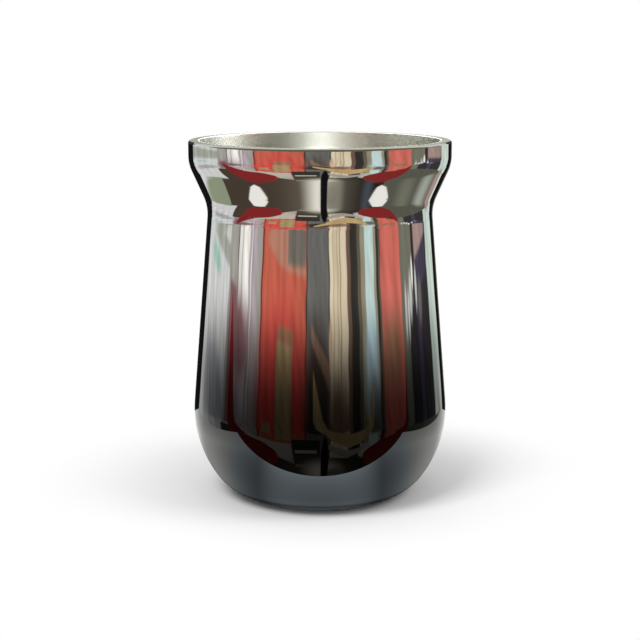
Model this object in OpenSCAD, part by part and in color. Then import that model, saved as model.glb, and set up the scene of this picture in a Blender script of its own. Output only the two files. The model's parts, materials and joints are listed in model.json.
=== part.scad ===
// Double-walled steel mate cup with a flared collar, a waist, a body that widens downwards and a round belly.
// Every piece is pressed from sheet and turned about Z. The cup stands on Z = 0 with its mouth up.

/* [Outer shell] */
// Height of the cup, from the table to the top of its lip
cup_h = 110; // [100:1:130]
// Outside diameter of the collar band
collar_d = 80; // [76:0.5:90]
// Height of the collar band, from the corner under it to the top of the lip
collar_band_h = 7; // [5:0.5:12]
// Outside rounding between the flare and the collar band
collar_round = 11.4; // [6:0.2:16]
// Outside diameter at which the flare and the body would meet in a sharp waist
waist_d = 68.4; // [62:0.2:74]
// Depth of that waist below the top of the lip
waist_drop = 20; // [16:0.5:30]
// Outside rounding of the waist
waist_round = 13.5; // [6:0.5:20]
// Outside diameter at which the body and the bowl would meet in a sharp belly
belly_d = 80.6; // [74:0.2:90]
// Height of that belly above the table
belly_h = 16.5; // [12:0.5:28]
// Outside rounding of the belly
belly_round = 34.5; // [15:0.5:40]
// Diameter at which the bowl would meet the table in a sharp edge
foot_d = 56; // [52:0.5:64]
// Outside rounding between the bowl and the standing ring
foot_round = 15; // [6:0.5:18]
// Outside rounding between the collar band and the flat top of the lip
lip_round = 0.8; // [0.6:0.1:1.5]

/* [Double wall] */
// Thickness of the outer shell's sheet
shell_t = 0.5; // [0.4:0.1:1]
// Gap between the outer shell and the liner, pumped empty
vacuum_gap = 2.5; // [1.5:0.1:4]
// Thickness of the liner's sheet
liner_t = 0.5; // [0.4:0.1:1]
// Rounding of the liner's inner edge at the mouth
mouth_edge_round = 0.3; // [0.1:0.05:0.35]

/* [Liner bottom] */
// Gap between the vacuum base and the liner's underside, pumped empty
bottom_gap = 6; // [5:0.5:10]
// Outside rounding between the liner's floor and its side
liner_round = 20; // [10:0.5:22]
// Straight side left above that rounding, up to the weld
weld_land = 3; // [1:0.5:8]

/* [Copper foil] */
// Thickness of the foil around the liner
foil_t = 0.1; // [0.05:0.05:0.3]
// Bare side between the foil and the weld below it, and between the foil and the waist above it
foil_margin = 3; // [1:0.5:10]

/* [Vacuum base] */
// Diameter of the opening in the shell's underside
base_bore_d = 33; // [30:0.5:35]
// Height of the hem turned up around that opening
hem_h = 5; // [4.5:0.1:7]
// Outside rounding between the standing ring and the hem
hem_round = 1; // [0.6:0.1:1.5]
// Thickness of the vacuum base's sheet
vacuum_base_t = 0.5; // [0.4:0.1:0.8]
// Length of the skirt by which the vacuum base is welded into the hem
vacuum_skirt_h = 2.2; // [1.8:0.1:2.6]
// Outside rounding of the corners pressed into the vacuum base
vacuum_base_round = 0.8; // [0.5:0.1:1]
// Outside diameter of the cup raised in the vacuum base for the seal
seal_cup_d = 10; // [8:0.5:12]
// Height of that seal cup above the plate around it
seal_cup_h = 1.6; // [1.2:0.1:2.2]
// Diameter of the hole through which the air is drawn out
vent_d = 2; // [1:0.5:3]

/* [Glass seal] */
// Gap between the glass bead and the wall of the seal cup
glass_gap = 1; // [0.4:0.1:1.5]
// Thickness of the bead under the seal cup
glass_h = 0.9; // [0.5:0.1:1.2]
// Rounding of the bead's melted lower edge
glass_round = 0.4; // [0.1:0.1:0.5]

/* [Getter] */
// Gap between the seal cup and the getter channel around it
getter_gap = 1.5; // [1:0.1:2]
// Width of the channel
getter_w = 4; // [3:0.1:5]
// Height of the channel
getter_h = 2; // [1.5:0.1:3]
// Thickness of the channel's sheet
getter_t = 0.3; // [0.2:0.05:0.5]
// Depth of the powder pressed into the channel
charge_h = 1.2; // [0.8:0.1:1.4]

/* [Base cover] */
// Height of the cover's rim face above the table
cover_recess = 0.8; // [0.4:0.1:1.2]
// Thickness of the cover's sheet
cover_t = 0.5; // [0.4:0.1:0.8]
// Gap between the cover's skirt and the vacuum base's skirt above it
cover_gap = 0.2; // [0.1:0.05:0.4]
// Outside rounding of the corners pressed into the cover
cover_round = 0.8; // [0.5:0.1:1]
// Diameter of the panel pressed up in the middle of the cover
cover_panel_d = 20; // [14:0.5:24]
// Height of that panel above the cover's rim face
cover_panel_h = 0.6; // [0.3:0.1:1]
// Radial run of the slope between the panel and the rim face
cover_slope_w = 1.5; // [0.8:0.1:2.5]

/* [Hidden] */
$fn = 128;
// Largest turn of one straight step along a rounded corner, in degrees
arc_step = 7.5;
// Two points closer than this are one point
same_point = 0.001;

// Both walls meet in the lip, so it spans the shell's sheet and the gap
lip_w = shell_t + vacuum_gap;
lip_weld_r = collar_d / 2 - lip_w;
base_bore_r = base_bore_d / 2;

// A corner is [radius from Z, height, rounding], and a row of corners is walked with its sheet on the left.
function place(c) = [c.x, c.y];
function heading(a, b) = atan2(b.y - a.y, b.x - a.x);
function wrapped(angle) = angle > 180 ? angle - 360 : angle < -180 ? angle + 360 : angle;
function turn(row, i) = wrapped(heading(row[i], row[i + 1]) - heading(row[i - 1], row[i]));
function is_end(row, i) = i == 0 || i == len(row) - 1;
function reversed(list) = [for (i = [len(list) - 1 : -1 : 0]) list[i]];

// Length of leg that the rounding of corner i takes up on each side of it
function tangent(row, i) = is_end(row, i) ? 0 : row[i].z * tan(abs(turn(row, i)) / 2);

// Share of their roundings that corners i and i + 1 can keep on the leg between them
function leg_share(row, i) =
    let (wanted = tangent(row, i) + tangent(row, i + 1), leg = norm(place(row[i + 1]) - place(row[i])))
    wanted > leg ? leg / wanted : 1;

// The same corners, each rounding limited by the legs beside it
function settled(row) = [
    for (i = [0 : len(row) - 1])
        is_end(row, i) ? row[i]
            : [row[i].x, row[i].y, row[i].z * min(leg_share(row, i - 1), leg_share(row, i))]
];

// Points of the arc that rounds corner i
function arc(row, i) =
    let (
        start = heading(row[i - 1], row[i]),
        bend = turn(row, i),
        side = sign(bend),
        first = place(row[i]) - tangent(row, i) * [cos(start), sin(start)],
        centre = first + side * row[i].z * [-sin(start), cos(start)],
        steps = ceil(abs(bend) / arc_step)
    )
    [
        for (k = [0 : steps])
            let (angle = start - 90 * side + bend * k / steps)
            centre + row[i].z * [cos(angle), sin(angle)]
    ];

function without_repeats(points) = [
    for (i = [0 : len(points) - 1])
        if (i == 0 || norm(points[i] - points[max(i - 1, 0)]) > same_point) points[i]
];

// Outline through a row of corners, with every inner corner rounded
function rounded(row) = without_repeats([
    for (i = [0 : len(row) - 1])
        each is_end(row, i) || row[i].z == 0 ? [place(row[i])] : arc(row, i)
]);

// Unit vector to the left of the leg that starts at corner i
function leg_normal(row, i) =
    let (angle = heading(row[i], row[i + 1]))
    [-sin(angle), cos(angle)];

// The row moved by d to its left, with roundings that stay concentric
function moved(row, d) = [
    for (i = [0 : len(row) - 1])
        let (
            before = leg_normal(row, max(i - 1, 0)),
            after = leg_normal(row, min(i, len(row) - 2)),
            spot = place(row[i]) + d * (before + after) / (1 + before * after),
            kept = is_end(row, i) ? 0 : max(row[i].z - d * sign(turn(row, i)), 0)
        )
        [spot.x, spot.y, kept]
];

// Closed outline of a sheet of thickness t on the left of a row, with the inner corner at its end rounded
function sheet(row, t, end_round = 0) =
    let (inner = reversed(moved(row, t)), end = [inner[0].x, inner[0].y, end_round])
    rounded([each row, end, each [for (i = [1 : len(inner) - 1]) inner[i]]]);

// Corner on the line through a and b at height z
function on_line(a, b, z) =
    let (share = (z - a.y) / (b.y - a.y))
    [a.x + (b.x - a.x) * share, z, 0];

// Outside of the shell, from the top of the hem around the underside and up to the lip
shell_row = settled([
    [base_bore_r, hem_h, 0],
    [base_bore_r, 0, hem_round],
    [foot_d / 2, 0, foot_round],
    [belly_d / 2, belly_h, belly_round],
    [waist_d / 2, cup_h - waist_drop, waist_round],
    [collar_d / 2, cup_h - collar_band_h, collar_round],
    [collar_d / 2, cup_h, lip_round],
    [lip_weld_r, cup_h, 0]
]);
belly_corner = shell_row[3];
waist_corner = shell_row[4];
collar_corner = shell_row[5];

// Outside of the liner: the shell's side moved inwards, and straight up to the lip
liner_side = moved([belly_corner, waist_corner, collar_corner, [collar_d / 2, cup_h, 0]], lip_w);
liner_floor_z = hem_h + bottom_gap;
liner_floor_corner = on_line(liner_side[0], liner_side[1], liner_floor_z);
liner_floor_edge = [liner_floor_corner.x, liner_floor_z, liner_round];
liner_pan = [[0, liner_floor_z, 0], liner_floor_edge, liner_side[1]];
side_angle = heading(liner_side[0], liner_side[1]);
weld_z = liner_floor_z + (tangent(liner_pan, 1) + weld_land) * sin(side_angle);
weld_corner = on_line(liner_side[0], liner_side[1], weld_z);

// The foil lies on the straight stretch of the liner's side
waist_start_z = liner_side[1].y - tangent(liner_side, 1) * sin(side_angle);
foil_bottom = on_line(liner_side[0], liner_side[1], weld_z + foil_margin);
foil_top = on_line(liner_side[0], liner_side[1], waist_start_z - foil_margin);

seal_cup_r = seal_cup_d / 2;
seal_cup_top = hem_h + seal_cup_h;
seal_cup_roof = seal_cup_top - vacuum_base_t;
vacuum_skirt_z = hem_h - vacuum_skirt_h;
glass_r = seal_cup_r - vacuum_base_t - glass_gap;
getter_r = seal_cup_r + getter_gap;
cover_panel_r = cover_panel_d / 2;

module turned(points) {
    rotate_extrude() polygon(points);
}

// Mirror-polished outside, one sheet from the hem to the lip
module outer_shell() {
    color([0.66, 0.67, 0.68]) turned(sheet(shell_row, shell_t));
}

// Tube of the liner, from the weld up to the lip, where the shell is welded to it
module inner_liner() {
    row = [weld_corner, liner_side[1], liner_side[2], liner_side[3]];
    color([0.72, 0.71, 0.66]) turned(sheet(row, liner_t, mouth_edge_round));
}

// Drawn pan that closes the liner, butt-welded to its tube
module liner_bottom() {
    row = [liner_pan[0], liner_pan[1], weld_corner];
    color([0.68, 0.67, 0.62]) turned(sheet(row, liner_t));
}

// Foil wrapped on the vacuum side of the liner, which throws its heat back
module copper_foil() {
    color([0.78, 0.45, 0.3]) turned(sheet([foil_bottom, foil_top], -foil_t));
}

// Plate that closes the vacuum, welded into the hem by its skirt, with a seal cup around the vent
module vacuum_base() {
    row = settled([
        [vent_d / 2, seal_cup_top, 0],
        [seal_cup_r, seal_cup_top, vacuum_base_round],
        [seal_cup_r, hem_h, vacuum_base_round],
        [base_bore_r, hem_h, vacuum_base_round],
        [base_bore_r, vacuum_skirt_z, 0]
    ]);
    color([0.6, 0.61, 0.62]) turned(sheet(row, -vacuum_base_t));
}

// Ring of U section on the vacuum base, open upwards
module getter_channel() {
    inner = getter_r;
    outer = getter_r + getter_w;
    top = hem_h + getter_h;
    color([0.55, 0.55, 0.53]) turned([
        [inner, hem_h],
        [outer, hem_h],
        [outer, top],
        [outer - getter_t, top],
        [outer - getter_t, hem_h + getter_t],
        [inner + getter_t, hem_h + getter_t],
        [inner + getter_t, top],
        [inner, top]
    ]);
}

// Powder pressed into the channel, which soaks up the last of the gas
module getter_charge() {
    inner = getter_r + getter_t;
    outer = getter_r + getter_w - getter_t;
    bottom = hem_h + getter_t;
    color([0.3, 0.3, 0.31]) turned([
        [inner, bottom],
        [outer, bottom],
        [outer, bottom + charge_h],
        [inner, bottom + charge_h]
    ]);
}

// Solder glass melted into the seal cup from below, with a stem in the vent
module glass_seal() {
    bottom = seal_cup_roof - glass_h;
    color([0.35, 0.42, 0.36]) turned(rounded([
        [0, bottom, 0],
        [glass_r, bottom, glass_round],
        [glass_r, seal_cup_roof, 0],
        [vent_d / 2, seal_cup_roof, 0],
        [vent_d / 2, seal_cup_top, 0],
        [0, seal_cup_top, 0]
    ]));
}

// Shallow cap pressed into the hem, which hides the seal
module base_cover() {
    row = settled([
        [0, cover_recess + cover_panel_h, 0],
        [cover_panel_r, cover_recess + cover_panel_h, cover_round],
        [cover_panel_r + cover_slope_w, cover_recess, cover_round],
        [base_bore_r, cover_recess, cover_round],
        [base_bore_r, vacuum_skirt_z - cover_gap, 0]
    ]);
    color([0.5, 0.51, 0.52]) turned(sheet(row, cover_t));
}

outer_shell();
inner_liner();
liner_bottom();
copper_foil();
vacuum_base();
getter_channel();
getter_charge();
glass_seal();
base_cover();
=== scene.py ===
# %% [markdown]
# # A mirror-polished mate cup
# A mate cup holds herb and hot water, which is sipped through a straw. This one is two steel walls with
# a vacuum between them: a mirror shell outside, under a smoked lacquer that fades down to black, and a
# matt liner. The construction comes in as a fixed frame. This lesson dresses it: surfaces first, then
# finishes, then the studio.

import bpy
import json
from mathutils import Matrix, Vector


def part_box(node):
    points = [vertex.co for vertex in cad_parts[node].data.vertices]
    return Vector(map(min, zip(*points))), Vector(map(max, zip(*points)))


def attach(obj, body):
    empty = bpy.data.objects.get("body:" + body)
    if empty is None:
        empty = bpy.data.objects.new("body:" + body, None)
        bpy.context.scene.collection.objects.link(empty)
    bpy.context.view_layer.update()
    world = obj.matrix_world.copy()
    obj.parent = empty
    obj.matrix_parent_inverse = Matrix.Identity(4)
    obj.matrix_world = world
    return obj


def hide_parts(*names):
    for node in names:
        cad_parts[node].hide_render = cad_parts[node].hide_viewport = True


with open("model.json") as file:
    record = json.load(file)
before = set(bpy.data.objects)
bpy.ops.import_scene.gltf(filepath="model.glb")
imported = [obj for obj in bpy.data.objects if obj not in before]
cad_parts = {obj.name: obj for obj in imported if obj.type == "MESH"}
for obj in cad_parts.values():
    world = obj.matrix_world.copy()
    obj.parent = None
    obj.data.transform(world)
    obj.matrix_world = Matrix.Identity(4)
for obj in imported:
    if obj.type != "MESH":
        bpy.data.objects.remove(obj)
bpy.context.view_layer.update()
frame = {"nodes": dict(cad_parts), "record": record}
print("nodes:", ", ".join(sorted(frame["nodes"])))

# %% [markdown]
# ## The drawing
# Every piece of the cup is turned about one axis, so its drawing is half a section: a row of corners,
# each with a radius from the axis, a height and a rounding. The overall sizes are read from the frame.
# The others repeat the construction's own sizes, in millimetres, because a box doesn't tell where a
# waist is.

# %% Sizes of the drawing
import math

import bpy
import numpy as np

MM = 0.001
mounts = {mount["name"]: mount for mount in frame["record"]["mounts"]}
cup_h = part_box("outer_shell")[1].z
collar_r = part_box("outer_shell")[1].x
mouth_r = mounts["mouth"]["dims"]["r_mm"] * MM
liner_outer_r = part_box("inner_liner")[1].x
base_bore_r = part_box("base_cover")[1].x
hem_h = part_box("getter_channel")[0].z
liner_floor_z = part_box("liner_bottom")[0].z
lip_w = collar_r - liner_outer_r
liner_t = liner_outer_r - mouth_r
shell_t = 0.5 * MM

collar_band_h, collar_round = 7 * MM, 11.4 * MM
waist_r, waist_drop, waist_round = 34.2 * MM, 20 * MM, 13.5 * MM
belly_r, belly_h, belly_round = 40.3 * MM, 16.5 * MM, 34.5 * MM
foot_r, foot_round = 28 * MM, 15 * MM
lip_round, hem_round = 0.8 * MM, 1 * MM
liner_round, weld_land = 20 * MM, 3 * MM
print(f"cup {cup_h / MM:.1f} mm tall, {2 * collar_r / MM:.1f} mm across, mouth {2 * mouth_r / MM:.1f} mm")

# %% [markdown]
# ## From corners to a smooth outline
# A mirror shows every flat of a coarse mesh, so the arcs are cut far finer here than in the
# construction. A bevel modifier could round a rough profile, but its arcs only come near the drawing.
# Working the arcs out keeps every radius exact, and the same few lines serve all the pieces.

# %% Legs and turns of a row
def headings(spots):
    """Direction of each leg between neighbouring spots, as an angle from the radius axis."""
    legs = np.diff(spots, axis=0)
    return np.arctan2(legs[:, 1], legs[:, 0])


def turns(spots):
    """Change of heading at each spot, wrapped to half a turn either way. The two ends have none."""
    change = np.diff(headings(spots))
    return np.concatenate([[0], (change + np.pi) % (2 * np.pi) - np.pi, [0]])


def moved(corners, distance):
    """The row moved to its left: every leg slides along its normal, and arcs stay concentric."""
    corners = np.asarray(corners, float)
    heading = headings(corners[:, :2])
    normal = np.column_stack([-np.sin(heading), np.cos(heading)])
    before, after = normal[[0, *range(len(normal))]], normal[[*range(len(normal)), -1]]
    shift = distance * (before + after) / (1 + np.sum(before * after, axis=1))[:, None]
    rounding = np.where(corners[:, 2] > 0, corners[:, 2] - distance * np.sign(turns(corners[:, :2])), 0)
    return np.column_stack([corners[:, :2] + shift, np.maximum(rounding, 0)])


def at_height(low, high, height):
    """The corner on the line through two corners at a given height, with no rounding."""
    share = (height - low[1]) / (high[1] - low[1])
    return np.array([low[0] + share * (high[0] - low[0]), height, 0])


# %% Rows of corners
wall_corners = [
    (belly_r, belly_h, belly_round),
    (waist_r, cup_h - waist_drop, waist_round),
    (collar_r, cup_h - collar_band_h, collar_round),
]
shell_row = np.array([
    (base_bore_r, hem_h, 0),
    (base_bore_r, 0, hem_round),
    (foot_r, 0, foot_round),
    *wall_corners,
    (collar_r, cup_h, lip_round),
    (liner_outer_r, cup_h, 0),
])
liner_side = moved([*wall_corners, (collar_r, cup_h, 0)], lip_w)
liner_edge = at_height(*liner_side[:2], liner_floor_z)
liner_lean = headings(liner_side[:2, :2])[0]
weld_z = liner_floor_z + (liner_round * math.tan(liner_lean / 2) + weld_land) * math.sin(liner_lean)
weld_corner = at_height(*liner_side[:2], weld_z)

# %% Arcs and steps
ARC_STEP = math.radians(2.5)
LEG_STEP = 2.5 * MM
LEAST_GAP = 0.002 * MM


def corner_arc(spot, heading, turn, rounding, step):
    """The arc that touches both legs of a corner. It starts rounding times tan(half the turn) before the
    corner, and its centre lies one rounding away, on the side that the row turns to."""
    side = np.sign(turn)
    first = spot - rounding * np.tan(abs(turn) / 2) * np.array([np.cos(heading), np.sin(heading)])
    centre = first + side * rounding * np.array([-np.sin(heading), np.cos(heading)])
    count = max(int(np.ceil(abs(turn) / step)), 2)
    angle = heading - side * np.pi / 2 + turn * np.linspace(0, 1, count + 1)
    return centre + rounding * np.column_stack([np.cos(angle), np.sin(angle)])


def with_steps(points, step):
    """Cuts every stretch longer than step into equal parts: its start plus shares of the gap."""
    gaps = np.diff(points, axis=0)
    counts = np.maximum(np.ceil(np.hypot(*gaps.T) / step).astype(int), 1)
    start = np.repeat(np.arange(len(gaps)), counts)
    share = (np.arange(counts.sum()) - np.repeat(np.cumsum(counts) - counts, counts)) / counts[start]
    return np.vstack([points[start] + gaps[start] * share[:, None], points[-1:]])


def outline(corners, arc_step=ARC_STEP, leg_step=LEG_STEP):
    """A row of corners (radius, height, rounding) as points: arcs at rounded corners, steps between."""
    corners = np.asarray(corners, float)
    spots, heading, turn = corners[:, :2], headings(corners[:, :2]), turns(corners[:, :2])
    parts = [
        corner_arc(spots[i], heading[i - 1], turn[i], corners[i, 2], arc_step)
        if 0 < i < len(spots) - 1 and corners[i, 2] > 0 else spots[i:i + 1]
        for i in range(len(spots))
    ]
    points = np.vstack(parts)
    apart = np.hypot(*np.diff(points, axis=0).T) > LEAST_GAP
    return with_steps(points[np.concatenate([[True], apart])], leg_step)


print(f"the shell's outside has {len(outline(shell_row))} points")

# %% [markdown]
# ## Turning an outline into a piece
# The Screw modifier turns a profile too, but a mesh made as whole arrays is exact, quick and closed at
# its poles. A sheet's profile is a loop: along its outside, then back along its inside. Walked with the
# metal on the left, its faces point away from the metal.

# %% The turning helper
SIDES = 224
ON_AXIS = 1e-9
SHARP_EDGE = math.radians(35)


def turned(name, loop, sides=SIDES):
    """Carries a loop of (radius, height) around Z. Radius r and height z at angle a go to
    (r sin a, -r cos a, z), and quads join neighbouring points and angles. A point on the axis is one
    vertex, so its quads become triangles."""
    loop = np.asarray(loop, float)
    angle = np.linspace(0, 2 * np.pi, sides, endpoint=False)
    pole = loop[:, 0] < ON_AXIS
    counts = np.where(pole, 1, sides)
    first = np.cumsum(counts) - counts
    column = np.arange(sides)
    index = first[:, None] + np.where(pole[:, None], 0, column)
    radius, height = np.repeat(loop[:, 0], counts), np.repeat(loop[:, 1], counts)
    turn = angle[np.arange(counts.sum()) - np.repeat(first, counts)]
    vertices = np.column_stack([radius * np.sin(turn), -radius * np.cos(turn), height])
    after, beside = np.roll(index, -1, axis=0), np.roll(index, -1, axis=1)
    quads = np.stack([index, beside, np.roll(beside, -1, axis=0), after], axis=-1)
    pole_after = np.roll(pole, -1)
    faces = quads[~pole & ~pole_after].reshape(-1, 4).tolist()
    faces += quads[pole & ~pole_after][..., [0, 2, 3]].reshape(-1, 3).tolist()
    faces += quads[~pole & pole_after][..., [0, 1, 2]].reshape(-1, 3).tolist()
    mesh = bpy.data.meshes.new(name)
    mesh.from_pydata(vertices, [], faces)
    mesh.shade_smooth()
    mesh.set_sharp_from_angle(angle=SHARP_EDGE)
    piece = bpy.data.objects.new(name, mesh)
    bpy.context.scene.collection.objects.link(piece)
    return piece


# %% The dressing helper
def dress(piece, node):
    """The piece rides on the cup's one body and stands for its CAD node, which is hidden. How far its box
    lies from the node's is printed.
    """
    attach(piece, "root")
    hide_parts(node)
    low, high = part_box(node)
    spots = np.empty((len(piece.data.vertices), 3), np.float32)
    piece.data.vertices.foreach_get("co", spots.ravel())
    off = max(np.abs(spots.min(0) - low).max(), np.abs(spots.max(0) - high).max())
    print(f"{piece.name}: {len(piece.data.polygons)} faces, box within {off / MM:.3f} mm of {node}")
    return piece


# %% [markdown]
# ## The polished shell
# The outside is one sheet, spun and polished: hem, standing ring, bowl, belly, body, waist, flare,
# collar and lip. A Solidify modifier could give the sheet its thickness, but the vacuum side is never
# seen, and walking back along a moved row lets that side be cut more coarsely.

# %% Make the shell
VACUUM_ARC_STEP = math.radians(7.5)
VACUUM_LEG_STEP = 10 * MM


def sheet_loop(row, thickness, back_arc_step=ARC_STEP, back_leg_step=LEG_STEP):
    """Outline of a sheet on the left of a row: the row itself, then the moved row walked back."""
    back = moved(row, thickness)[::-1]
    return np.vstack([outline(row), outline(back, back_arc_step, back_leg_step)])


shell_loop = sheet_loop(shell_row, shell_t, VACUUM_ARC_STEP, VACUUM_LEG_STEP)
polished_shell = dress(turned("polished_shell", shell_loop), "outer_shell")

# %% [markdown]
# ## The liner
# The liner follows the shell at an even gap, and it is a tube and a drawn pan, butt-welded. Its inside
# is the side that shows, so both sides are cut finely. The mouth's inner edge is rounded over for the
# lips. One mesh could serve for tube and pan, but two keep the weld where the construction has it.

# %% Make the liner's tube and pan
mouth_edge_round = 0.3 * MM

tube_row = np.vstack([weld_corner, liner_side[1:]])
tube_inner = moved(tube_row, liner_t)[::-1]
tube_inner[0, 2] = mouth_edge_round
tube_loop = outline(np.vstack([tube_row, tube_inner]))
matt_liner = dress(turned("matt_liner", tube_loop), "inner_liner")

pan_row = np.array([(0, liner_floor_z, 0), (liner_edge[0], liner_floor_z, liner_round), weld_corner])
pan_loop = sheet_loop(pan_row, liner_t)
liner_pan = dress(turned("liner_pan", pan_loop), "liner_bottom")

# %% [markdown]
# ## The base cover
# A shallow cap is pressed into the hem and hides the vacuum seal. Its middle is a raised panel, which
# keeps the thin sheet from drumming. It is turned like the others, so the same two helpers make it.

# %% Make the cover
cover_low, cover_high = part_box("base_cover")
cover_t, cover_round = 0.5 * MM, 0.8 * MM
panel_r, panel_h, slope_w = 10 * MM, 0.6 * MM, 1.5 * MM
cover_row = np.array([
    (0, cover_low.z + panel_h, 0),
    (panel_r, cover_low.z + panel_h, cover_round),
    (panel_r + slope_w, cover_low.z, cover_round),
    (base_bore_r, cover_low.z, cover_round),
    (base_bore_r, cover_high.z, 0),
])
cover_cap = dress(turned("cover_cap", sheet_loop(cover_row, cover_t)), "base_cover")

# %% [markdown]
# ## Shared effects
# Steel shows how it was worked. Three effects come back in several finishes, so each is a node group
# that is built once: lines left by turning, cloudy smudges left by hands, and the grain of a blasted
# surface. They read the piece's own coordinates in metres, so their scale is real. Image textures could
# hold such marks too, but they would need unwrapping and would blur from close up.

# %% Node helpers
def add_node(tree, kind, **settings):
    """A new node of a kind, with its properties set by name."""
    node = tree.nodes.new(kind)
    for key, value in settings.items():
        setattr(node, key, value)
    return node


def feed(tree, socket, value):
    """Links an output socket into an input socket, or sets a plain value on it."""
    if isinstance(value, bpy.types.NodeSocket):
        tree.links.new(value, socket)
    else:
        socket.default_value = value


# %% Numbers and noise
def calc(tree, operation, *values):
    """A Math node on sockets or numbers."""
    node = add_node(tree, "ShaderNodeMath", operation=operation)
    for socket, value in zip(node.inputs, values):
        feed(tree, socket, value)
    return node.outputs[0]


def spread(tree, value, low, high, to_low=0.0, to_high=1.0, kind="SMOOTHSTEP"):
    """A Map Range node: low to high becomes to_low to to_high, and ends are held."""
    node = add_node(tree, "ShaderNodeMapRange", interpolation_type=kind)
    names = ("Value", "From Min", "From Max", "To Min", "To Max")
    for name, item in zip(names, (value, low, high, to_low, to_high)):
        feed(tree, node.inputs[name], item)
    return node.outputs["Result"]


def cloud(tree, place, blobs_per_metre, detail=3.0):
    """A Noise texture at so many blobs per metre."""
    node = add_node(tree, "ShaderNodeTexNoise")
    feed(tree, node.inputs["Vector"], place)
    feed(tree, node.inputs["Scale"], blobs_per_metre)
    node.inputs["Detail"].default_value = detail
    return node.outputs["Fac"]


def axes(tree, place):
    """The X, Y and Z of a place."""
    node = add_node(tree, "ShaderNodeSeparateXYZ")
    feed(tree, node.inputs[0], place)
    return node.outputs


# %% Empty groups
VECTOR, NUMBER = "NodeSocketVector", "NodeSocketFloat"


def new_group(name, inputs, outputs):
    """A shader group with named sockets: inputs as (name, kind, default), outputs as names of numbers."""
    tree = bpy.data.node_groups.new(name, "ShaderNodeTree")
    for label, kind, default in inputs:
        socket = tree.interface.new_socket(label, in_out="INPUT", socket_type=kind)
        if default is not None:
            socket.default_value = default
    for label in outputs:
        tree.interface.new_socket(label, in_out="OUTPUT", socket_type=NUMBER)
    return tree, add_node(tree, "NodeGroupInput"), add_node(tree, "NodeGroupOutput")


# %% Turning lines
# A noise that hardly changes around the axis and quickly along the profile, which is radius plus height
LINE_SWAY = 40.0
LINE_DETAIL = 2.0

turning_lines, given, result = new_group(
    "turning_lines", [("Place", VECTOR, None), ("Lines per metre", NUMBER, 4000.0)], ["Lines"]
)
axis = axes(turning_lines, given.outputs["Place"])
squares = [calc(turning_lines, "MULTIPLY", axis[name], axis[name]) for name in ("X", "Y")]
from_axis = calc(turning_lines, "SQRT", calc(turning_lines, "ADD", *squares))
along_profile = calc(turning_lines, "ADD", from_axis, axis["Z"])
stretched = add_node(turning_lines, "ShaderNodeCombineXYZ")
for name in ("X", "Y"):
    feed(turning_lines, stretched.inputs[name], calc(turning_lines, "MULTIPLY", axis[name], LINE_SWAY))
line_count = calc(turning_lines, "MULTIPLY", along_profile, given.outputs["Lines per metre"])
feed(turning_lines, stretched.inputs["Z"], line_count)
feed(turning_lines, result.inputs["Lines"], cloud(turning_lines, stretched.outputs[0], 1.0, LINE_DETAIL))
print("group:", turning_lines.name)

# %% Hand smudges
SMUDGE_DETAIL = 4.0
SMUDGE_STARTS, SMUDGE_FULL = 0.45, 0.75

hand_smudges, given, result = new_group(
    "hand_smudges", [("Place", VECTOR, None), ("Size per metre", NUMBER, 45.0)], ["Mask"]
)
broad = cloud(hand_smudges, given.outputs["Place"], given.outputs["Size per metre"], SMUDGE_DETAIL)
feed(hand_smudges, result.inputs["Mask"], spread(hand_smudges, broad, SMUDGE_STARTS, SMUDGE_FULL))
print("group:", hand_smudges.name)

# %% Blast grain
PIT_DETAIL, FLECK_DETAIL = 2.0, 3.0
FLECK_SHARE = 0.4
SPARKLE_STARTS, SPARKLE_FULL = 0.35, 0.7

blast_grain, given, result = new_group(
    "blast_grain", [("Place", VECTOR, None), ("Grains per metre", NUMBER, 4500.0)], ["Height", "Sparkle"]
)
pits = cloud(blast_grain, given.outputs["Place"], given.outputs["Grains per metre"], PIT_DETAIL)
flecks_per_metre = calc(blast_grain, "MULTIPLY", given.outputs["Grains per metre"], FLECK_SHARE)
flecks = cloud(blast_grain, given.outputs["Place"], flecks_per_metre, FLECK_DETAIL)
feed(blast_grain, result.inputs["Height"], calc(blast_grain, "ADD", pits, flecks))
feed(blast_grain, result.inputs["Sparkle"], spread(blast_grain, flecks, SPARKLE_STARTS, SPARKLE_FULL))
print("group:", blast_grain.name)

# %% [markdown]
# ## Finishes
# Each finish is a Principled shader with its constants set on its own sockets, and only what changes
# over the surface is linked. Metals are fully metallic, so their colour is the colour of their
# reflections.

# %% Finish helpers
def new_finish(name):
    """A material with its tree, its Principled shader and the piece's own coordinates."""
    material = bpy.data.materials.new(name)
    material.use_nodes = True
    tree = material.node_tree
    shader = tree.nodes["Principled BSDF"]
    place = add_node(tree, "ShaderNodeTexCoord").outputs["Object"]
    return material, tree, shader, place


def blend_colours(tree, factor, first, second):
    """A Mix node between two colours."""
    node = add_node(tree, "ShaderNodeMix", data_type="RGBA")
    feed(tree, node.inputs["Factor"], factor)
    for name, colour in (("A", first), ("B", second)):
        socket = next(item for item in node.inputs if item.name == name and item.type == "RGBA")
        feed(tree, socket, (*colour, 1))
    return next(item for item in node.outputs if item.type == "RGBA")


def wear(piece, material):
    """Gives a piece its one finish."""
    piece.data.materials.clear()
    piece.data.materials.append(material)
    print(f"{piece.name} wears {material.name}")


# %% Helpers for what varies
def weighed(tree, first, first_share, second, second_share):
    """The sum of two values, each times its share."""
    first_part = calc(tree, "MULTIPLY", first, first_share)
    second_part = calc(tree, "MULTIPLY", second, second_share)
    return calc(tree, "ADD", first_part, second_part)


def effect(tree, group, place, **values):
    """Places a shared effect in a material, with its own values."""
    node = add_node(tree, "ShaderNodeGroup", node_tree=group)
    feed(tree, node.inputs["Place"], place)
    for label, value in values.items():
        node.inputs[label.replace("_", " ")].default_value = value
    return node.outputs


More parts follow.
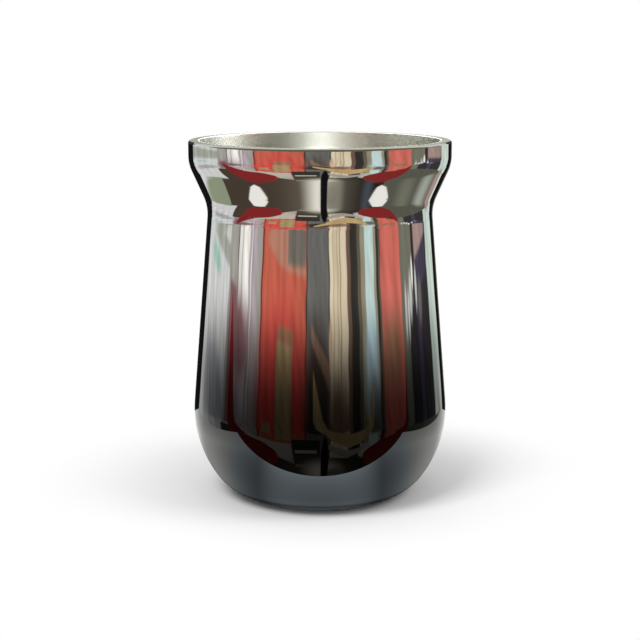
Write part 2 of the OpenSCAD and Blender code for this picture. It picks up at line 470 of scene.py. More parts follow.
def bumped(tree, shader, height, distance):
    """Tilts the shading normal by a height whose 1 stands for so many metres."""
    node = add_node(tree, "ShaderNodeBump")
    node.inputs["Strength"].default_value = 1.0
    node.inputs["Distance"].default_value = distance
    feed(tree, node.inputs["Height"], height)
    feed(tree, shader.inputs["Normal"], node.outputs["Normal"])


# %% [markdown]
# ## Mirror steel under smoked lacquer
# The shell is polished until it is a mirror, then sprayed from below with a translucent black lacquer.
# A sprayed film dims light by the same share for each further bit of thickness, so the steel's colour
# is multiplied by e to the minus depth, and the depth grows down the body. A colour ramp could imitate
# it, but this fades as lacquer does. The film's own faint gloss is the shader's coat.

# %% Make the mirror finish
POLISHED_STEEL, LACQUER_BLACK = (0.70, 0.69, 0.675), (0.0, 0.0, 0.0)
LACQUER_STARTS_Z, LACQUER_FULL_Z = 70 * MM, 29 * MM
LACQUER_DEPTH, LACQUER_BUILD_UP = 5.3, 2.0
SPRAY_UNEVEN, SPRAY_CLOUDS = 3 * MM, 60.0
NOISE_MIDDLE = 0.5
COAT_FULL_AT, COAT_ROUGHNESS, COAT_IOR = 0.5, 0.02, 1.34
POLISHING_LINES = 6000.0
SMUDGE_ROUGHNESS, LINE_ROUGHNESS = 0.035, 0.03
DENTS_PER_METRE, DENT_DETAIL, DENT_DEPTH = 45.0, 1.0, 0.03 * MM

mirror_steel, tree, shader, place = new_finish("mirror_steel")
cloudy = calc(tree, "SUBTRACT", cloud(tree, place, SPRAY_CLOUDS), NOISE_MIDDLE)
drift = calc(tree, "MULTIPLY", cloudy, SPRAY_UNEVEN)
spray_z = calc(tree, "ADD", axes(tree, place)["Z"], drift)
covered = spread(tree, spray_z, LACQUER_FULL_Z, LACQUER_STARTS_Z, 1.0, 0.0, "LINEAR")
depth = calc(tree, "MULTIPLY", calc(tree, "POWER", covered, LACQUER_BUILD_UP), -LACQUER_DEPTH)
passed = calc(tree, "EXPONENT", depth)
feed(tree, shader.inputs["Base Color"], blend_colours(tree, passed, LACQUER_BLACK, POLISHED_STEEL))
feed(tree, shader.inputs["Coat Weight"], spread(tree, covered, 0.0, COAT_FULL_AT))
smudge = effect(tree, hand_smudges, place)["Mask"]
lines = effect(tree, turning_lines, place, Lines_per_metre=POLISHING_LINES)["Lines"]
feed(tree, shader.inputs["Roughness"], weighed(tree, smudge, SMUDGE_ROUGHNESS, lines, LINE_ROUGHNESS))
shader.inputs["Metallic"].default_value = 1.0
shader.inputs["Coat Roughness"].default_value = COAT_ROUGHNESS
shader.inputs["Coat IOR"].default_value = COAT_IOR
bumped(tree, shader, cloud(tree, place, DENTS_PER_METRE, DENT_DETAIL), DENT_DEPTH)
wear(polished_shell, mirror_steel)

# %% [markdown]
# ## Blasted steel
# The liner is blasted with fine beads, which leaves an even matt grain with a faint warm tint. The weld
# is ground flush, which shows as a slightly smoother ring. Real grains in the mesh would take millions
# of faces, so they are a bump, a little colour and a little roughness.

# %% Make the liner's finish
BLASTED_LIGHT, BLASTED_DARK = (0.67, 0.68, 0.625), (0.60, 0.61, 0.56)
LINER_LINES = 2500.0
SPARKLE_TONE, LINE_TONE = 0.7, 0.3
BLASTED_ROUGHNESS, SPARKLE_ROUGHNESS = 0.36, 0.05
WELD_RING_W, WELD_ROUGHNESS_SHARE = 1.2 * MM, 0.6
GRAIN_DEPTH = 0.001 * MM

blasted_steel, tree, shader, place = new_finish("blasted_steel")
grain = effect(tree, blast_grain, place)
lines = effect(tree, turning_lines, place, Lines_per_metre=LINER_LINES)["Lines"]
tone = weighed(tree, grain["Sparkle"], SPARKLE_TONE, lines, LINE_TONE)
feed(tree, shader.inputs["Base Color"], blend_colours(tree, tone, BLASTED_DARK, BLASTED_LIGHT))
grain_roughness = calc(tree, "MULTIPLY", grain["Sparkle"], SPARKLE_ROUGHNESS)
even_roughness = calc(tree, "ADD", BLASTED_ROUGHNESS, grain_roughness)
from_weld = calc(tree, "ABSOLUTE", calc(tree, "SUBTRACT", axes(tree, place)["Z"], weld_z))
weld_share = spread(tree, from_weld, 0.0, WELD_RING_W, WELD_ROUGHNESS_SHARE, 1.0)
feed(tree, shader.inputs["Roughness"], calc(tree, "MULTIPLY", even_roughness, weld_share))
shader.inputs["Metallic"].default_value = 1.0
bumped(tree, shader, grain["Height"], GRAIN_DEPTH)
wear(matt_liner, blasted_steel)
wear(liner_pan, blasted_steel)

# %% [markdown]
# ## Turned and rolled steel
# The cover is brushed while it spins, so its lines run in circles. The plates inside the base are left
# as they were rolled, dulled by the furnace in which the air is drawn out. One function makes both,
# because they differ only in how bright, how fine and how rough they are. The shader's Anisotropic
# setting could stretch the glints without lines, but it would show nothing from close up.

# %% Make the base's steel finishes
NOISE_LOW, NOISE_HIGH = 0.3, 0.7
PLATE_SMUDGES = 120.0
LINE_DULLNESS, SMUDGE_DULLNESS = 0.5, 0.5
PLATE_LINE_DEPTH = 0.006 * MM


def plain_steel(name, light, dark, lines_per_metre, roughness):
    """Steel with turning lines in its colour, roughness and height, clouded by smudges."""
    material, tree, shader, place = new_finish(name)
    lines = effect(tree, turning_lines, place, Lines_per_metre=lines_per_metre)["Lines"]
    smudge = effect(tree, hand_smudges, place, Size_per_metre=PLATE_SMUDGES)["Mask"]
    tone = spread(tree, lines, NOISE_LOW, NOISE_HIGH)
    dullness = weighed(tree, tone, LINE_DULLNESS, smudge, SMUDGE_DULLNESS)
    feed(tree, shader.inputs["Base Color"], blend_colours(tree, tone, dark, light))
    feed(tree, shader.inputs["Roughness"], spread(tree, dullness, 0.0, 1.0, *roughness, "LINEAR"))
    shader.inputs["Metallic"].default_value = 1.0
    bumped(tree, shader, lines, PLATE_LINE_DEPTH)
    return material


turned_steel = plain_steel(
    "turned_steel", light=(0.60, 0.60, 0.60), dark=(0.42, 0.42, 0.43),
    lines_per_metre=5000.0, roughness=(0.22, 0.38),
)
rolled_steel = plain_steel(
    "rolled_steel", light=(0.56, 0.55, 0.52), dark=(0.40, 0.39, 0.37),
    lines_per_metre=900.0, roughness=(0.35, 0.55),
)
wear(cover_cap, turned_steel)
for node in ("vacuum_base", "getter_channel"):
    wear(frame["nodes"][node], rolled_steel)

# %% [markdown]
# ## Copper foil
# The foil is wrapped around the liner to throw heat back, and its creases run mostly upwards. It sits
# between the walls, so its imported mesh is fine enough, and only its finish is made here. The creases
# could be modelled, but a bump is enough for a sheet that is hidden.

# %% Make the foil's finish
COPPER_BRIGHT, COPPER_TARNISHED = (0.93, 0.50, 0.34), (0.70, 0.34, 0.22)
CREASES_PER_METRE, CREASE_DETAIL, CREASE_DEPTH = 220.0, 5.0, 0.08 * MM
CREASE_STRETCH = (1.0, 1.0, 0.4)
FOIL_ROUGHNESS = (0.16, 0.36)
TARNISH_CLOUDS = 90.0

copper_foil, tree, shader, place = new_finish("copper_foil")
stretched = add_node(tree, "ShaderNodeVectorMath", operation="MULTIPLY")
feed(tree, stretched.inputs[0], place)
stretched.inputs[1].default_value = CREASE_STRETCH
creases = cloud(tree, stretched.outputs[0], CREASES_PER_METRE, CREASE_DETAIL)
tarnish = effect(tree, hand_smudges, place, Size_per_metre=TARNISH_CLOUDS)["Mask"]
feed(tree, shader.inputs["Base Color"], blend_colours(tree, tarnish, COPPER_BRIGHT, COPPER_TARNISHED))
feed(tree, shader.inputs["Roughness"], spread(tree, creases, NOISE_LOW, NOISE_HIGH, *FOIL_ROUGHNESS))
shader.inputs["Metallic"].default_value = 1.0
bumped(tree, shader, creases, CREASE_DEPTH)
wear(frame["nodes"]["copper_foil"], copper_foil)

# %% [markdown]
# ## Powder and solder glass
# A ring of pressed metal powder soaks up stray gas, and a bead of dark green solder glass closes the
# vent. Both use the blast grain: as pores in the powder, and as fine bubbles in the glass. Each could
# have a texture of its own, but the shared group only needs another size.

# %% Make the powder and the glass
POWDER_DARK, POWDER_LIGHT = (0.05, 0.05, 0.055), (0.22, 0.22, 0.23)
POWDER_GRAINS, POWDER_DEPTH = 6000.0, 0.05 * MM
POWDER_METALLIC, POWDER_ROUGHNESS = 0.3, 0.85
GLASS_DARK, GLASS_LIGHT = (0.05, 0.10, 0.07), (0.18, 0.28, 0.20)
BUBBLES_PER_METRE, BUBBLE_DEPTH = 1500.0, 0.01 * MM
GLASS_ROUGHNESS, GLASS_IOR, GLASS_CLEARNESS = 0.08, 1.6, 0.5

getter_powder, tree, shader, place = new_finish("getter_powder")
grain = effect(tree, blast_grain, place, Grains_per_metre=POWDER_GRAINS)
feed(tree, shader.inputs["Base Color"], blend_colours(tree, grain["Sparkle"], POWDER_DARK, POWDER_LIGHT))
shader.inputs["Metallic"].default_value = POWDER_METALLIC
shader.inputs["Roughness"].default_value = POWDER_ROUGHNESS
bumped(tree, shader, grain["Height"], POWDER_DEPTH)
wear(frame["nodes"]["getter_charge"], getter_powder)

solder_glass, tree, shader, place = new_finish("solder_glass")
bubbles = effect(tree, blast_grain, place, Grains_per_metre=BUBBLES_PER_METRE)
feed(tree, shader.inputs["Base Color"], blend_colours(tree, bubbles["Sparkle"], GLASS_DARK, GLASS_LIGHT))
shader.inputs["Roughness"].default_value = GLASS_ROUGHNESS
shader.inputs["IOR"].default_value = GLASS_IOR
shader.inputs["Transmission Weight"].default_value = GLASS_CLEARNESS
bumped(tree, shader, bubbles["Height"], BUBBLE_DEPTH)
wear(frame["nodes"]["glass_seal"], solder_glass)

# %% [markdown]
# ## The camera
# The camera stands a little above the rim and looks slightly down, as someone would who has the cup on
# a table before them. The lens is long, which keeps the sides nearly parallel. A wide lens from close
# by would also frame the cup, but it would swell the belly.

# %% Place the camera
CAMERA_SPOT = (0, -450 * MM, 140.6 * MM)
CAMERA_AIM_Z = 54.1 * MM
LENS_MM = 82.8

camera_data = bpy.data.cameras.new("camera")
camera_data.lens = LENS_MM
camera = bpy.data.objects.new("camera", camera_data)
camera.location = CAMERA_SPOT
tilt = math.atan2(CAMERA_SPOT[2] - CAMERA_AIM_Z, -CAMERA_SPOT[1])
camera.rotation_euler = (math.pi / 2 - tilt, 0, 0)
bpy.context.scene.collection.objects.link(camera)
bpy.context.scene.camera = camera
print(f"camera looks down by {math.degrees(tilt):.1f} degrees")

# %% [markdown]
# ## Floor and stand
# The floor is plain and pale, and fades to white away from the cup, as a paper sweep does. It keeps the
# cup's shadow. A mirror would show the whole floor, so in reflections the cup stands on a small pale
# stand instead, whose front edge lies close before it. Past that edge the mirror shows the cards that
# come later.

# %% Studio helpers
def stage_piece(name, vertices, faces):
    """A mesh that belongs to the studio and not to the cup."""
    mesh = bpy.data.meshes.new(name)
    mesh.from_pydata(np.asarray(vertices).reshape(-1, 3), [], faces)
    piece = bpy.data.objects.new(name, mesh)
    bpy.context.scene.collection.objects.link(piece)
    return piece


def grid_faces(rows, columns, closed):
    """Quads of a grid of rows by columns, with the last column joined to the first if closed."""
    index = np.arange(rows * columns).reshape(rows, columns)
    beside = np.roll(index, -1, axis=1)
    quads = np.stack([index[:-1], beside[:-1], beside[1:], index[1:]], axis=-1)
    return (quads if closed else quads[:, :-1]).reshape(-1, 4).tolist()


def only_seen_by(piece, *rays):
    """Hides a studio piece from every kind of ray but these."""
    for ray in ("camera", "diffuse", "glossy", "transmission", "volume_scatter", "shadow"):
        setattr(piece, "visible_" + ray, ray in rays)
    print(f"{piece.name} is seen by {', '.join(rays)} rays")


# %% Make the floor
FLOOR_HALF = 6.0

floor_corners = FLOOR_HALF * np.array([(-1, -1, 0), (1, -1, 0), (1, 1, 0), (-1, 1, 0)])
floor = stage_piece("floor", floor_corners, [(0, 1, 2, 3)])
only_seen_by(floor, "camera", "diffuse", "shadow")

# %% Make the stand
# A sheet between a round hole and a rectangle: share 0 of the way is the circle, share 1 the edge
STAND_FRONT, STAND_SIDE, STAND_BACK = -47 * MM, 116 * MM, 95 * MM
STAND_HOLE_R, STAND_TOP_Z = 16 * MM, -0.1 * MM
STAND_RINGS, STAND_RAYS = 24, 360
NOT_ZERO = 1e-9

stand_angle = np.linspace(0, 2 * np.pi, STAND_RAYS, endpoint=False)
outward = np.column_stack([np.sin(stand_angle), -np.cos(stand_angle)])
reach_x = STAND_SIDE / np.maximum(np.abs(outward[:, 0]), NOT_ZERO)
edge_y = np.where(outward[:, 1] < 0, -STAND_FRONT, STAND_BACK)
reach_y = edge_y / np.maximum(np.abs(outward[:, 1]), NOT_ZERO)
way_out = np.linspace(0, 1, STAND_RINGS)[:, None]
stand_r = STAND_HOLE_R * (1 - way_out) + np.minimum(reach_x, reach_y) * way_out
stand_z = np.full_like(stand_r, STAND_TOP_Z)
stand_spots = np.stack([stand_r * outward[:, 0], stand_r * outward[:, 1], stand_z], axis=-1)
stand = stage_piece("stand", stand_spots, grid_faces(STAND_RINGS, STAND_RAYS, True))
only_seen_by(stand, "glossy", "transmission")

# %% [markdown]
# ## Paper and a lit card
# The floor is matt paper. Away from the cup it turns into plain white for the rays that see it
# directly, so no horizon shows, and it vanishes when seen from below. The stand gives its own light:
# dark in the shade close around the foot, dim behind and bright in front, where a lamp would reach it.
# Lamps could light the stand, but then the mirror might show them.

# %% Helpers for the studio's finishes
def seen_directly(tree):
    """1 for camera, glossy and transmission rays, which see the backdrop as white, and 0 for others."""
    path = add_node(tree, "ShaderNodeLightPath")
    mirrored = calc(tree, "ADD", path.outputs["Is Glossy Ray"], path.outputs["Is Transmission Ray"])
    return calc(tree, "MINIMUM", calc(tree, "ADD", path.outputs["Is Camera Ray"], mirrored), 1.0)


def mixed(tree, factor, first, second):
    """A Mix Shader node between two shaders."""
    node = add_node(tree, "ShaderNodeMixShader")
    for socket, value in zip(node.inputs, (factor, first.outputs[0], second.outputs[0])):
        feed(tree, socket, value)
    return node


def from_middle(tree, place):
    """How far a place lies from the middle of the floor."""
    node = add_node(tree, "ShaderNodeVectorMath", operation="LENGTH")
    feed(tree, node.inputs[0], place)
    return node.outputs["Value"]


def lit_finish(name):
    """A material that only gives light: its tree and its Emission shader."""
    material = bpy.data.materials.new(name)
    material.use_nodes = True
    tree = material.node_tree
    tree.nodes.clear()
    shader = add_node(tree, "ShaderNodeEmission")
    feed(tree, add_node(tree, "ShaderNodeOutputMaterial").inputs["Surface"], shader.outputs[0])
    material.cycles.emission_sampling = "NONE"
    return material, tree, shader


# %% The floor's finish
PAPER, PAPER_ROUGHNESS = (0.90, 0.90, 0.90), 0.9
FADE_STARTS, FADE_ENDS = 45 * MM, 100 * MM

floor_paper, tree, shader, place = new_finish("floor_paper")
shader.inputs["Base Color"].default_value = (*PAPER, 1)
shader.inputs["Roughness"].default_value = PAPER_ROUGHNESS
shader.inputs["Specular IOR Level"].default_value = 0.0
white = add_node(tree, "ShaderNodeEmission")
white.inputs["Color"].default_value = (1, 1, 1, 1)
clear = add_node(tree, "ShaderNodeBsdfTransparent")
fade = spread(tree, from_middle(tree, place), FADE_STARTS, FADE_ENDS)
sweep = mixed(tree, calc(tree, "MULTIPLY", fade, seen_directly(tree)), shader, white)
seen_from_below = add_node(tree, "ShaderNodeNewGeometry").outputs["Backfacing"]
see_through = mixed(tree, seen_from_below, sweep, clear)
feed(tree, tree.nodes["Material Output"].inputs["Surface"], see_through.outputs[0])
wear(floor, floor_paper)

# %% The stand's finish
# Forward is 1 straight in front of the cup, 0 at its sides and -1 behind it
STAND_GLOW, STAND_FRONT_GLOW = (1.72, 1.76, 1.70), (1.56, 1.80, 1.96)
FOOT_SHADE_R, FOOT_SHADE_LEFT = (27 * MM, 76 * MM), 0.01
BACK_LIGHT, SIDE_LIGHT, FRONT_LIGHT = 0.42, 1.15, 3.9
SIDE_FORWARD, FRONT_FORWARD, TINT_FORWARD = (-0.45, 0.45), (0.72, 1.0), (0.25, 0.55)

stand_card, tree, shader = lit_finish("stand_card")
place = add_node(tree, "ShaderNodeTexCoord").outputs["Object"]
reach = from_middle(tree, place)
forward = calc(tree, "DIVIDE", calc(tree, "MULTIPLY", axes(tree, place)["Y"], -1.0), reach)
side_lit = spread(tree, forward, *SIDE_FORWARD, BACK_LIGHT, SIDE_LIGHT)
front_lit = calc(tree, "MULTIPLY", spread(tree, forward, *FRONT_FORWARD), FRONT_LIGHT)
out_of_shade = spread(tree, reach, *FOOT_SHADE_R, FOOT_SHADE_LEFT, 1.0, "LINEAR")
lit_share = calc(tree, "MULTIPLY", calc(tree, "ADD", side_lit, front_lit), out_of_shade)
lit_colour = add_node(tree, "ShaderNodeVectorMath", operation="SCALE")
tint = spread(tree, forward, *TINT_FORWARD)
feed(tree, lit_colour.inputs[0], blend_colours(tree, tint, STAND_GLOW, STAND_FRONT_GLOW))
feed(tree, lit_colour.inputs["Scale"], lit_share)
feed(tree, shader.inputs["Color"], lit_colour.outputs[0])
wear(stand, stand_card)

# %% [markdown]
# ## Cards for the mirror to show
# A polished cup is mostly a picture of what stands around it. In front of plain white it would look
# like chalk, so a studio hangs cards around polished metal. Here they are one painted dome, seen by
# reflections only: upright strips in muted colours at the cup's height, smaller cards and soft washes
# over them, a dark ground in front, and dark behind, which draws the dark edges of the outline. Single
# cards could hang as planes, but one dome leaves no gaps.

# %% Colours of the cards
WHITE = (1.12, 1.11, 1.06)
GLOW = (1.12, 1.08, 0.96)
PALE = (0.80, 0.81, 0.81)
MIST = (0.66, 0.90, 1.00)
AQUA = (0.70, 0.89, 0.86)
MINT = (0.68, 0.80, 0.73)
JADE = (0.40, 0.72, 0.62)
PEARL = (0.66, 0.62, 0.54)
LINEN = (0.70, 0.73, 0.66)
HAZE = (0.48, 0.50, 0.52)
SAGE = (0.46, 0.49, 0.42)
MOSS = (0.34, 0.39, 0.27)
OLIVE = (0.22, 0.225, 0.175)
LODEN = (0.125, 0.13, 0.10)
LILAC = (0.56, 0.48, 0.52)
ROSE = (0.46, 0.33, 0.30)
TAUPE = (0.48, 0.46, 0.43)
SLATE = (0.19, 0.19, 0.18)
CINDER = (0.22, 0.20, 0.17)
CREAM = (0.95, 0.83, 0.60)
STRAW = (0.62, 0.48, 0.30)
GOLD = (0.66, 0.47, 0.23)
TAN = (0.52, 0.37, 0.19)
SAND = (0.42, 0.39, 0.28)
EMBER = (0.85, 0.56, 0.36)
BRICK = (0.60, 0.28, 0.20)
CLAY = (0.45, 0.22, 0.13)
FAWN = (0.34, 0.21, 0.145)
CORAL = (0.80, 0.20, 0.16)
RED = (0.70, 0.165, 0.105)
CRIMSON = (0.84, 0.10, 0.09)
MAROON = (0.30, 0.16, 0.18)
RUST = (0.28, 0.03, 0.03)
BARK = (0.20, 0.12, 0.09)
DUSK = (0.24, 0.23, 0.18)
UMBER = (0.16, 0.14, 0.10)
BROWN = (0.08, 0.06, 0.045)
NAVY = (0.08, 0.09, 0.11)
PLUM = (0.08, 0.065, 0.11)
SMOKE = (0.05, 0.045, 0.05)
DARK = (0.05, 0.045, 0.04)
INK = (0.02, 0.019, 0.018)
BLACK = (0.008, 0.008, 0.010)

# %% Upright strips
# Bearing in degrees from the camera, towards +X, at which each strip starts
STRIPS = [
    (-180, SMOKE), (-172, UMBER), (-166, BLACK), (-141, PALE), (-97, TAUPE), (-85.5, DARK),
    (-84.5, WHITE), (-80.5, LILAC), (-79.5, WHITE), (-71.5, LILAC), (-69, WHITE), (-68, LILAC),
    (-62.5, TAUPE), (-57, RUST), (-55.5, RED), (-13, DARK), (-12, SLATE), (8, DARK), (9, CREAM),
    (12.2, STRAW), (13, CREAM), (16.2, STRAW), (16.9, CREAM), (18.6, TAN), (19.6, CREAM), (25.4, BARK),
    (29, DARK), (36, UMBER), (39, SAND), (43.5, AQUA), (52.5, SAND), (55, DARK), (57.5, UMBER),
    (59.5, CORAL), (83.2, OLIVE), (100, SMOKE), (104, RED), (110, PLUM), (124, DARK), (127, MINT),
    (146, BLACK), (160, UMBER), (168, SMOKE),
]
print(f"{len(STRIPS)} strips")

# %% Washes and cards over the strips
# Soft washes: bearing and elevation of the middle, half width, half height, slope, softness, colour
WASHES = [
    (-34, -9, 23, 6, 0, 0.45, CRIMSON), (-2, -8.5, 11, 5, 0, 0.5, BROWN),
    (70, -7, 10, 2.2, 0, 0.7, CLAY), (-81, -6.9, 13, 2.7, 0, 0.5, MAROON),
    (-81, -13, 13, 4, 0, 0.4, LILAC), (17, -10.5, 10, 4, 0, 0.35, FAWN), (48, -7, 6, 3, 0, 0.6, MIST),
    (49, -12, 7, 4, 0, 0.5, SLATE), (-2, -11, 11, 3, 0, 0.4, DARK),
]
# Upright cards: bearing from and to, elevation from and to, colour
CARDS = [
    # Small ones on the strips
    (-141, -93, -3.8, -2.5, SAGE), (-94, -86, -14, -4.2, MAROON), (-39, -24, -5.0, -4.0, CLAY),
    (-40, -25, -21, -4.9, TAN), (-52, -44, -15, -10.5, TAN), (92, 127, -16, -6, SMOKE),
    (104, 110, -16, -3, PLUM), (104, 126, -3.8, 9, ROSE),
    # Above the strips, and behind the cup
    (-190, -146, 1, 17, DARK), (146, 190, 1, 17, DARK), (-190, -110, 17, 90, LINEN),
    (110, 190, 17, 90, LINEN), (-110, 110, 10, 90, UMBER), (-190, -168, 1, 9, SAGE),
    (168, 190, 1, 9, SAGE),
    # The ground, and a pale one at the left
    (-190, -152, -90, -24, DUSK), (152, 190, -90, -24, DUSK), (-103, 0, -90, -38, BROWN),
    (0, 71, -90, -38, INK), (70, 141, -90, -16, LODEN), (-141, -99.5, -32, -5.5, PALE),
    # Small ones on the ground
    (-25, 0, -43, -20, DARK), (-23, -3, -33, -30, PEARL), (-25, -1, -47, -44.5, PEARL),
    (36, 46, -36, -24, PEARL),
]
print(f"{len(WASHES)} washes, {len(CARDS)} upright cards")

# %% Slanted cards, spots and lozenges
# Cards with slanted edges: bearing, top and bottom at each corner, then the colour
SLANTED_CARDS = [
    ([(-51, 3, 0), (-44, 3, -0.25), (-40, 3, -0.6), (-33, 3, -0.75), (-13, 3, -0.9)], BRICK),
    ([(-30.5, 3, -0.4), (-13.5, 3, -0.35)], CINDER),
    ([(-8, -3.4, -4.3), (9, -5.8, -7.2)], FAWN),
    ([(-150, -18, -70), (-138, -20.5, -70), (-107, -30, -70)], MOSS),
    ([(-108, -30.5, -70), (-96, -34.5, -70), (-84, -38, -70)], BROWN),
    ([(-99, -15, -38.5), (-86, -15, -40.5), (-76, -30, -43)], BROWN),
    ([(-91, -4, -8), (-88, -6.5, -17), (-84, -9.5, -31), (-79, -13, -40), (-68, -19, -43),
      (-61, -21.5, -44.3), (-54, -24, -45.3), (-47, -27, -45), (-42, -31, -40)], RUST),
    ([(-70, -17, -19), (-52, -20.5, -24), (-41, -23, -32), (-39, -23, -38), (-26, -24, -44)], PEARL),
    ([(41, -33, -36), (46, -28, -44), (54, -23, -45.5), (63, -20.5, -44), (72, -18, -41.8), (79, -14, -34),
      (84, -8, -14)], RUST),
    ([(2, -22, -25), (14, -27, -34), (26, -31, -38), (36, -28, -33), (42, -24, -25)], TAUPE),
    ([(-6, -6, -9), (3, -9, -14), (12, -12.5, -22), (26, -15, -28), (36, -13, -24), (44, -9.5, -16),
      (49, -7, -8)], GOLD),
]
# Round spots, given as the washes are
SPOTS = [
    (0, -52, 34, 14, 0, 0.8, UMBER), (2, -52, 15, 9, 0, 0.9, GLOW), (14, -53.5, 12, 5, 0, 0.6, DUSK),
    (4.5, -52, 4, 36, 0, 0.15, BLACK), (-180, -48, 16, 20, 0, 0.8, GLOW),
    (180, -48, 16, 20, 0, 0.8, GLOW), (54, -47, 5, 3, 0, 0.9, NAVY),
    (98, -36.5, 8, 3, 0.3, 0.9, OLIVE), (122, -27.4, 7, 4, 0.4, 0.9, SAGE),
    (137, -20, 4, 7, 0, 0.6, ROSE), (-115, -12, 18, 2.6, 0, 0.4, HAZE),
    (-121, -4.9, 9, 0.6, 0, 0.5, JADE), (95.5, -5.3, 1.8, 1.3, 0, 0.5, PALE),
    (104, -5.4, 1.4, 1.2, 0, 0.5, PALE), (110, -6.6, 3, 1.2, 0, 0.6, SLATE),
    (99, -4.2, 1.2, 0.9, 0, 0.4, WHITE), (88.5, -5.8, 1.4, 1.4, 0, 0.5, PALE),
    (92, -6.2, 1.2, 1.3, 0, 0.5, PALE), (9.5, -4.6, 1.4, 1.3, 0, 0.4, EMBER),
]
# Two bright lozenges: bearing and elevation of the middle, half width, half height, slope
LOZENGES = [(-73, -43.2, 11.5, 1.0, -0.24), (68.5, -44.3, 11.5, 1.0, 0.24)]
print(f"{len(SLANTED_CARDS)} slanted cards, {len(SPOTS)} spots, {len(LOZENGES)} lozenges")

# %% [markdown]
# ## Painting the dome
# The dome is a grid over bearing and elevation. Its colours are an array of the same shape, and every
# strip, wash, card, spot and lozenge is laid over it in turn, by a cover from 0 to 1 with soft edges.
# An image could hold the same picture, but an array needs no unwrapping, and its steps can be finer
# where it matters.

# %% The dome's grid
# Elevation from, to and step: finest in the narrow bands that the straight walls of the cup magnify
ELEVATION_BANDS = [
    (-89, -48, 4), (-48, -40, 0.08), (-40, -10, 0.6), (-10, 3, 0.15), (3, 30, 1.5), (30, 92, 4),
]
BEARINGS = 901

elevation = np.concatenate([np.arange(*band) for band in ELEVATION_BANDS])
across, up = np.meshgrid(np.linspace(-180, 180, BEARINGS), elevation)
print(f"grid of {across.shape[0]} by {across.shape[1]} points")

# %% Painting helpers
LOZENGE_EDGE = 0.08


def smooth(value, low, high):
    """0 below low, 1 above high, and an S curve between."""
    share = np.clip((value - low) / (high - low), 0, 1)
    return share * share * (3 - 2 * share)


def within(value, low, high, edge):
    """1 between low and high, 0 outside, with soft edges."""
    return smooth(value, low - edge, low + edge) * (1 - smooth(value, high - edge, high + edge))


def painted(under, colour, cover):
    """Lays a colour over what is there, by a cover from 0 to 1."""
    return under + (np.asarray(colour) - under) * cover[..., None]


def spotted(under, middle, height, half_w, half_h, slope, softness, colour):
    """Lays an ellipse of colour over what is there. Its long axis rises by slope per degree of bearing."""
    rise = up - height - slope * (across - middle)
    distance = np.hypot((across - middle) / half_w, rise / half_h)
    return painted(under, colour, 1 - smooth(distance, 1 - softness, 1 + softness))


def lozenge(under, middle, height, half_w, half_h, slope):
    """Lays a white lozenge over what is there: on its edge, the shares of both half sizes add up to 1."""
    rise = up - height - slope * (across - middle)
    distance = np.abs(across - middle) / half_w + np.abs(rise) / half_h
    return painted(under, WHITE, 1 - smooth(distance, 1 - LOZENGE_EDGE, 1 + LOZENGE_EDGE))


# %% Paint strips, washes, cards and spots
STRIP_EDGE, CARD_EDGE, CARD_EDGE_UP = 0.5, 0.5, 0.25
SWAY, QUICK_SWAY, SLOW_SWAY, SWAY_DRIFT = 0.3, 1.9, 0.7, 0.05

swayed = across + SWAY * (np.sin(QUICK_SWAY * up) + np.sin(SLOW_SWAY * up + SWAY_DRIFT * across))
colours = np.zeros((*across.shape, 3)) + BLACK
for start, colour in STRIPS:
    colours = painted(colours, colour, smooth(swayed, start - STRIP_EDGE, start + STRIP_EDGE))
for wash in WASHES:
    colours = spotted(colours, *wash)
for left, right, low, high, colour in CARDS:
    cover = within(across, left, right, CARD_EDGE) * within(up, low, high, CARD_EDGE_UP)
    colours = painted(colours, colour, cover)
for row, colour in SLANTED_CARDS:
    along, top, bottom = np.transpose(row)
    top_edge, bottom_edge = np.interp(across, along, top), np.interp(across, along, bottom)
    sideways = within(across, along[0], along[-1], CARD_EDGE)
    colours = painted(colours, colour, sideways * within(up, bottom_edge, top_edge, CARD_EDGE_UP))
for round_spot in SPOTS:
    colours = spotted(colours, *round_spot)
print(f"cards painted, mean colour {np.round(colours.mean((0, 1)), 2)}")

# %% Streaks, mottling and lozenges
# Cloth and paper are never even: streaks follow the bearing, and mottling is a sum of slanting waves
STREAK_STEP, STREAK_DEPTH, MOTTLE_DEPTH = 2.2, 0.14, 0.08
UNEVEN_FROM, UNEVEN_FULL = -30, -16
WAVES, WAVE_LOW, WAVE_HIGH = 12, (0.2, 0.3, 0), (1.2, 2.2, 2 * np.pi)
PAINT_SEED = 4

chance = np.random.default_rng(PAINT_SEED)
knots = np.arange(-180, 181, STREAK_STEP)
streak = np.interp(across, knots, chance.uniform(-1, 1, len(knots)))
waves = chance.uniform(WAVE_LOW, WAVE_HIGH, (WAVES, len(WAVE_LOW)))
mottle = sum(np.sin(pace * across + rise * up + start) for pace, rise, start in waves) / math.sqrt(WAVES)
uneven = smooth(up, UNEVEN_FROM, UNEVEN_FULL) * (STREAK_DEPTH * streak + MOTTLE_DEPTH * mottle)
colours *= 1 + uneven[..., None]
for bright in LOZENGES:
    colours = lozenge(colours, *bright)
print(f"colours vary by up to {np.abs(uneven).max():.2f}")

# %% Hang the dome
# A point lies at its bearing and elevation, one radius away from a centre at the cup's height
DOME_R, DOME_CENTRE_Z = 0.9, 90 * MM
PAINT = "card_colour"

lean, turn = np.radians(up), np.radians(across)
towards = np.stack([np.cos(lean) * np.sin(turn), -np.cos(lean) * np.cos(turn), np.sin(lean)], axis=-1)
dome = stage_piece("card_dome", DOME_R * towards + (0, 0, DOME_CENTRE_Z), grid_faces(*across.shape, False))
opaque = np.ones((*across.shape, 1))
paint = dome.data.attributes.new(PAINT, "FLOAT_COLOR", "POINT")
paint.data.foreach_set("color", np.concatenate([colours, opaque], axis=-1).astype(np.float32).ravel())
only_seen_by(dome, "glossy", "transmission")

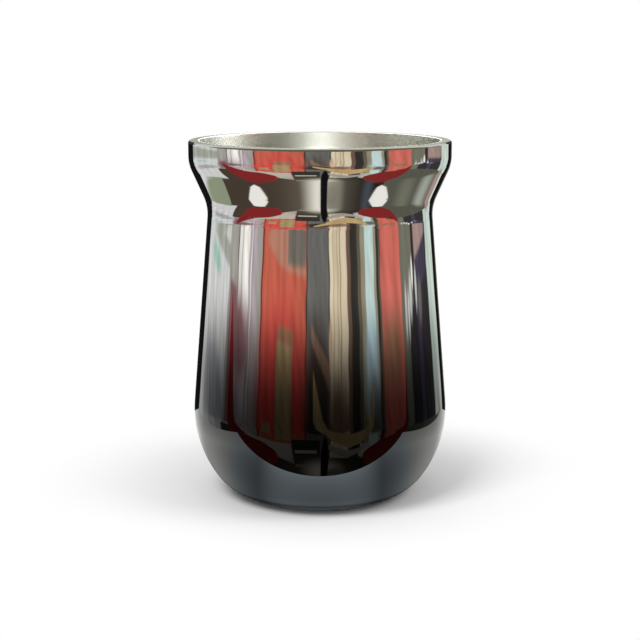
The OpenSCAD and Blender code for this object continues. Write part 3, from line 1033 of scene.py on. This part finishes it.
card_paint, tree, shader = lit_finish("card_paint")
painted_colour = add_node(tree, "ShaderNodeAttribute", attribute_name=PAINT)
feed(tree, shader.inputs["Color"], painted_colour.outputs["Color"])
wear(dome, card_paint)

# %% [markdown]
# ## Light
# The world gives even soft light, and plain white to the rays that see it directly. Two soft boxes,
# high at the left and right, reach only the floor, for the cup's shadow. Three others reach only the
# liner: one in front and one at the right for its two glints, and a wide one behind for the near wall.
# The mirror takes its light from the cards and the stand. One big lamp would be simpler, but it would
# show as a white patch in the mirror.

# %% Lamp helpers
def soft_box(name, spot, aim, size, watts):
    """A square area lamp at a spot, turned towards its aim."""
    data = bpy.data.lights.new(name, "AREA")
    data.size = size
    data.energy = watts
    lamp = bpy.data.objects.new(name, data)
    lamp.location = spot
    lamp.visible_camera = False
    towards = np.subtract(aim, spot)
    flat = math.hypot(towards[0], towards[1])
    lean, bearing = math.atan2(flat, -towards[2]), math.atan2(towards[1], towards[0])
    lamp.rotation_euler = (lean, 0, bearing - math.pi / 2)
    bpy.context.scene.collection.objects.link(lamp)
    return lamp


def kept_to(lamp, *pieces):
    """Lets a lamp reach only these pieces, as a flag between the lamp and the rest would."""
    group = bpy.data.collections.new(lamp.name + "_reach")
    for piece in pieces:
        group.objects.link(piece)
    lamp.light_linking.receiver_collection = group
    print(f"{lamp.name} reaches {', '.join(piece.name for piece in pieces)}")


# %% Lamps
# Name, spot, aim, size in metres and power in watts
FLOOR_LAMPS = [
    ("key_box", (-0.28, -0.42, 0.62), (0, 0, 0.08), 0.30, 3.2),
    ("fill_box", (0.5, -0.2, 0.5), (0, 0, 0.05), 0.35, 1.4),
]
LINER_LAMPS = [
    ("mouth_box", (-0.014, -0.437, 0.214), (0, 0, 0.10), 0.12, 0.64),
    ("side_box", (0.411, 0.134, 0.229), (0, 0, 0.10), 0.16, 1.2),
    ("back_box", (0, 0.32, 0.42), (0, 0, 0.10), 0.40, 2.0),
]
for setting in FLOOR_LAMPS:
    kept_to(soft_box(*setting), floor)
for setting in LINER_LAMPS:
    kept_to(soft_box(*setting), matt_liner, liner_pan)

# %% The world
WORLD_LEVEL = 0.65

world = bpy.data.worlds.new("studio")
world.use_nodes = True
bpy.context.scene.world = world
tree = world.node_tree
soft_light = tree.nodes["Background"]
soft_light.inputs["Color"].default_value = (1, 1, 1, 1)
soft_light.inputs["Strength"].default_value = WORLD_LEVEL
backdrop = add_node(tree, "ShaderNodeBackground")
backdrop.inputs["Color"].default_value = (1, 1, 1, 1)
seen = mixed(tree, seen_directly(tree), soft_light, backdrop)
feed(tree, tree.nodes["World Output"].inputs["Surface"], seen.outputs[0])
bpy.context.scene.view_settings.view_transform = "Standard"
print(f"world at level {WORLD_LEVEL}")

# %% [markdown]
# ## The last cell
# The dressed cup has to stay in the box of its construction.

# %% Finish
import json
